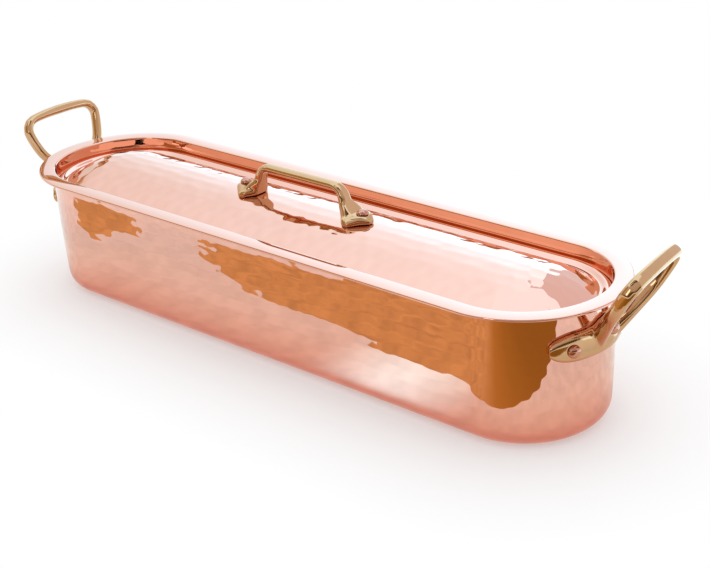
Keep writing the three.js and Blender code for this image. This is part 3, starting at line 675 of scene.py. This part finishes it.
reach = add_node(tree, "ShaderNodeVectorMath", {"operation": "LENGTH"}, {0: (from_spine, 0)})
ease = add_node(tree, "ShaderNodeMapRange", {"From Min": 60 * MM, "From Max": 160 * MM, "To Min": 0.33},
                {"Value": (reach, "Value")})
seen = add_node(tree, "ShaderNodeMixShader", None, {"Fac": (ease, "Result"), 1: (sheet, 0), 2: (glow, 0)})
print("the paper turns to plain white between 60 and 160 mm from the spine")

# %% Paper that the copper mirrors
PAN_FOOT, FLOOR_FADE = 57, 200    # where the floor's colours start, and over how many mm they change
PATCH_SCALE = 60                  # patches of about 17 mm, on the floor and on the boards
SHINE_MIDDLE, SHINE_RADIUS = (100 * MM, -90 * MM, 0), 80 * MM   # the brightest spot, in front

gap = add_node(tree, "ShaderNodeMapRange", {
    "From Min": PAN_FOOT * MM, "From Max": (PAN_FOOT + FLOOR_FADE) * MM,
}, {"Value": (reach, "Value")})
warmth = add_node(tree, "ShaderNodeValToRGB", None, {"Fac": (gap, "Result")})
stops = warmth.color_ramp.elements
stops[0].color, stops[1].color = (0.70, 0.40, 0.34, 1), (0.98, 1.0, 1.0, 1)
for position, light in ((0.05, (0.74, 0.48, 0.41)), (0.16, (0.84, 0.68, 0.60)),
                        (0.3, (0.88, 0.83, 0.77)), (0.5, (0.84, 0.84, 0.82))):
    stops.new(position).color = (*light, 1)
patches = add_node(tree, "ShaderNodeTexNoise", {"Scale": PATCH_SCALE, "Detail": 1.0},
                   {"Vector": (where, "Object")})
uneven = add_node(tree, "ShaderNodeMapRange", {
    "From Min": 0.3, "From Max": 0.7, "To Min": 0.94, "To Max": 1.07,
}, {"Value": (patches, "Fac")})
shine = add_node(tree, "ShaderNodeVectorMath", {"operation": "DISTANCE", 1: SHINE_MIDDLE},
                 {0: (where, "Object")})
spot = add_node(tree, "ShaderNodeMapRange", {
    "interpolation_type": "SMOOTHSTEP", "From Min": 0.0, "From Max": SHINE_RADIUS,
    "To Min": 1.0, "To Max": 0.0,
}, {"Value": (shine, "Value")})
off_foot = add_node(tree, "ShaderNodeMapRange", {"From Min": 0.02, "From Max": 0.11},
                    {"Value": (gap, "Result")})
lit = add_node(tree, "ShaderNodeMath", {"operation": "MULTIPLY"},
               {0: (spot, "Result"), 1: (off_foot, "Result")})
hue = add_node(tree, "ShaderNodeVectorMath", {"operation": "MULTIPLY_ADD", 1: (0.32, 0.88, 1.15)},
               {0: (lit, 0), 2: (warmth, "Color")})
mirrored = add_node(tree, "ShaderNodeEmission", None, {"Color": (hue, 0), "Strength": (uneven, "Result")})
rays = add_node(tree, "ShaderNodeLightPath")
both = add_node(tree, "ShaderNodeMixShader", None,
                {"Fac": (rays, "Is Glossy Ray"), 1: (seen, 0), 2: (mirrored, 0)})
add_node(tree, "ShaderNodeOutputMaterial", None, {"Surface": (both, 0)})
floor.data.materials.append(paper)
print(paper.name, "has", len(tree.nodes), "nodes")

# %% [markdown]
# ## Cards round the pan
# Warm boards lay on the floor in front of the pan, and their reflection is the orange field in the long
# wall. The walls of the room, a dark place low in front and a soft lamp above show in the dome, the rim
# and the handles. Each is a card here that glows and that only reflections see, so it throws no light and
# no shadow on the floor.

# %% Helpers for cards
BOARD_UNEVEN, CARD_LIFT = 0.16, 0.5   # share by which a board's light varies, and height of a flat card
cards = []


def card(name, points, faces, light, uneven=0.0):
    """A card that shows only in reflections. Its light is one colour, or a list of one for each point."""
    mesh = bpy.data.meshes.new(name)
    mesh.from_pydata(points, [], faces)
    piece = bpy.data.objects.new(name, mesh)
    bpy.context.scene.collection.objects.link(piece)
    material = bpy.data.materials.new(name)
    material.use_nodes = True
    tree = material.node_tree
    tree.nodes.clear()
    glow = add_node(tree, "ShaderNodeEmission")
    if isinstance(light, tuple):
        glow.inputs["Color"].default_value = (*light, 1)
    else:
        paint = mesh.attributes.new("light", "FLOAT_COLOR", "POINT")
        paint.data.foreach_set("color", np.ravel([(*one, 1) for one in light]))
        painted = add_node(tree, "ShaderNodeAttribute", {"attribute_name": "light"})
        tree.links.new(painted.outputs["Color"], glow.inputs["Color"])
    if uneven:
        where = add_node(tree, "ShaderNodeTexCoord")
        patches = add_node(tree, "ShaderNodeTexNoise", {"Scale": PATCH_SCALE, "Detail": 2.0},
                           {"Vector": (where, "Object")})
        share = add_node(tree, "ShaderNodeMapRange", {
            "From Min": 0.3, "From Max": 0.7, "To Min": 1 - uneven, "To Max": 1 + uneven,
        }, {"Value": (patches, "Fac")})
        tree.links.new(share.outputs["Result"], glow.inputs["Strength"])
    add_node(tree, "ShaderNodeOutputMaterial", None, {"Surface": (glow, 0)})
    mesh.materials.append(material)
    piece.visible_camera = piece.visible_diffuse = piece.visible_shadow = False
    piece.visible_transmission = piece.visible_volume_scatter = False
    cards.append(name)


def board(name, outline, light):
    """A flat board on the floor, from its outline in millimetres."""
    points = [(px * MM, py * MM, CARD_LIFT * MM) for px, py in outline]
    card(name, points, [range(len(outline))], light, BOARD_UNEVEN)


def strip(name, near, far, lights, height=CARD_LIFT):
    """A flat strip on the floor between two rows of places in mm, with a light for each place."""
    count = len(near)
    points = [(px * MM, py * MM, height * MM) for px, py in near + far]
    faces = [(place, place + 1, count + place + 1, count + place) for place in range(count - 1)]
    card(name, points, faces, lights + lights)


def sky(name, turns, heights, distance, light):
    """A curved card round the pan, through a list of turns and a list of heights in degrees."""
    step = len(turns)
    points = [distance * Vector((math.sin(turn) * math.cos(height), -math.cos(turn) * math.cos(height),
                                 math.sin(height)))
              for height in np.radians(heights) for turn in np.radians(turns)]
    faces = [(row * step + column, row * step + column + 1, (row + 1) * step + column + 1,
              (row + 1) * step + column) for row in range(len(heights) - 1) for column in range(step - 1)]
    card(name, points, faces, light)


def between(start, end, steps=12):
    """Evenly spaced numbers with both ends."""
    return list(np.linspace(start, end, steps + 1))


# %% Boards on the floor
# The outlines give the edges of the orange field. The last board grows darker to the right.
BOARD_LIGHT, BOARD_BACK = (0.70, 0.42, 0.166), -420

board("board_middle", [
    (-198, -183), (-160, -160), (-98, -136), (-35, -132), (16, -128), (74, -116), (125, -115),
    (218, -101), (249, -94), (299, -84), (342, -77), (342, BOARD_BACK), (-50, BOARD_BACK),
    (-53, -194), (-83, -198), (-121, -200), (-147, -192), (-161, -187), (-193, -189),
], BOARD_LIGHT)
board("board_left", [
    (-385, -200), (-356, -178), (-323, -156), (-298, -141), (-285, -138), (-272, -145), (-272, -154),
    (-259, -158), (-244, -160), (-268, -177), (-284, -185), (-330, -201),
], BOARD_LIGHT)
right_edge = [(180, -107), (210, -102), (226, -99), (249, -94), (299, -84), (342, -77), (620, -60)]
strip("board_right", right_edge, [(px, BOARD_BACK) for px, _ in right_edge], [
    BOARD_LIGHT, (0.51, 0.26, 0.055), (0.48, 0.24, 0.045), (0.42, 0.21, 0.035),
    (0.35, 0.175, 0.028), (0.33, 0.165, 0.025), (0.33, 0.165, 0.025),
], height=0.7)
print(len(cards), "boards lie in front of the pan")

# %% Walls, lamp and dark places
# The white walls behind the pan are brightest straight behind it, and dimmer and warmer to the left.
# Higher up they pass over into the ceiling. Turns run round the pan from straight in front, to the right.
BRIGHT_WALL, DIM_WALL, CEILING = 1.8, 0.8, 1.55
FAN_START, FAN_END = 130, 3500   # how far behind the pan's middle line the floor's card starts and ends


def wall_light(turn, height=0):
    """Light of the room's wall at a turn and a height in degrees."""
    low = BRIGHT_WALL + (DIM_WALL - BRIGHT_WALL) * fade(turn, 200, 258)
    level = low + (CEILING - low) * fade(height, 10, 75)
    return (0.45 + 0.5 * level, level, 1.4 * level - 0.4)


turns, heights = between(197, 298, 72), between(-2, 80, 48)
lights = [wall_light(turn, height) for height in heights for turn in turns]
sky("white_walls", turns, heights, 2.4, lights)

# The floor behind the pan is a fan of places, seen from the pan's middle.
turns = between(94, 266, 24)
near, far = ([(-reach * math.tan(math.radians(turn - 180)), reach) for turn in turns]
             for reach in (FAN_START, FAN_END))
strip("back_floor", near, far, [wall_light(turn) for turn in turns])

sky("right_wall", between(94, 197), between(-2, 60), 2.3, (0.88, 0.86, 0.9))
sky("brown_wall", between(298, 332), between(-2, 46), 2.3, (0.5, 0.36, 0.16))
sky("white_strip", between(284, 292), between(30, 38), 2.2, (1.8, 2.2, 2.6))

# The room in front is dark low down and pale higher up.
turns = between(332, 454)
front_lights = [(0.10, 0.055, 0.025), (0.10, 0.055, 0.025), (0.62, 0.54, 0.5), (0.75, 0.7, 0.68)]
sky("front_room", turns, [-2, 10, 20, 60], 2.3, [light for light in front_lights for _ in turns])

sky("key_softbox", between(2, 12), between(14, 34), 2.2, (3.0, 3.0, 3.0))
sky("front_black", between(320, 352), between(66, 80), 2.2, (0.01, 0.01, 0.01))
sky("dark_ceiling", between(5, 92), between(60, 80), 2.25, (0.16, 0.10, 0.07))
print("cards that only reflections see:", ", ".join(cards))

# %% [markdown]
# ## Finish
# The colours are shown as they are written, without a film look.

# %% Finish
scene = bpy.context.scene
scene.view_settings.view_transform = "Standard"
clear_selection()
